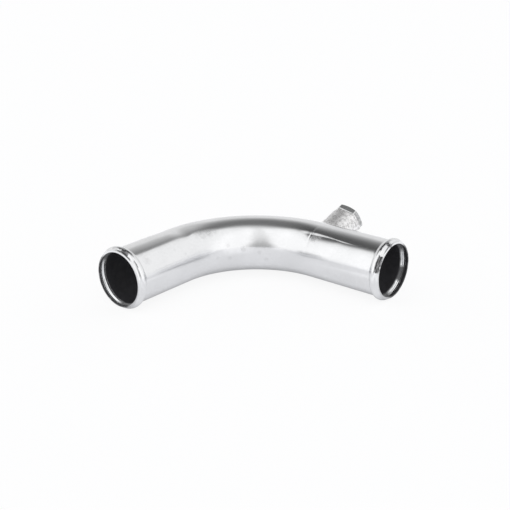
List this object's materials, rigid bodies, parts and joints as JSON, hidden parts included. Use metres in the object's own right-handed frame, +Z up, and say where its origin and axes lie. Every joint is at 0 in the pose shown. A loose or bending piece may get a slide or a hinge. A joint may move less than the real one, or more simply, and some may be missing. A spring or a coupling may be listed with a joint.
{
  "type": "coolant pipe",
  "caption": "Bent steel coolant pipe with beaded hose ends and a brazed hexagonal boss for a threaded sensor.",
  "frame": {"origin": "centre of mouth A, at the tube's end plane", "axes": "+X runs into the pipe along leg A, leg B leaves the bend along -Y, and +Z is up with the bend lying in the XY plane"},
  "size_m": [0.1619, 0.1477, 0.0451],
  "materials": {
    "zinc_tube": "bright zinc plate, smooth with fine bending marks",
    "zinc_boss": "bright zinc plate on turned hexagon bar",
    "braze": "mottled brazed joint, zinc plated over"
  },
  "bodies": {
    "root": {"pipe": "zinc_tube", "sensor_boss": "zinc_boss", "braze_collar": "braze"}
  },
  "joints": []
}
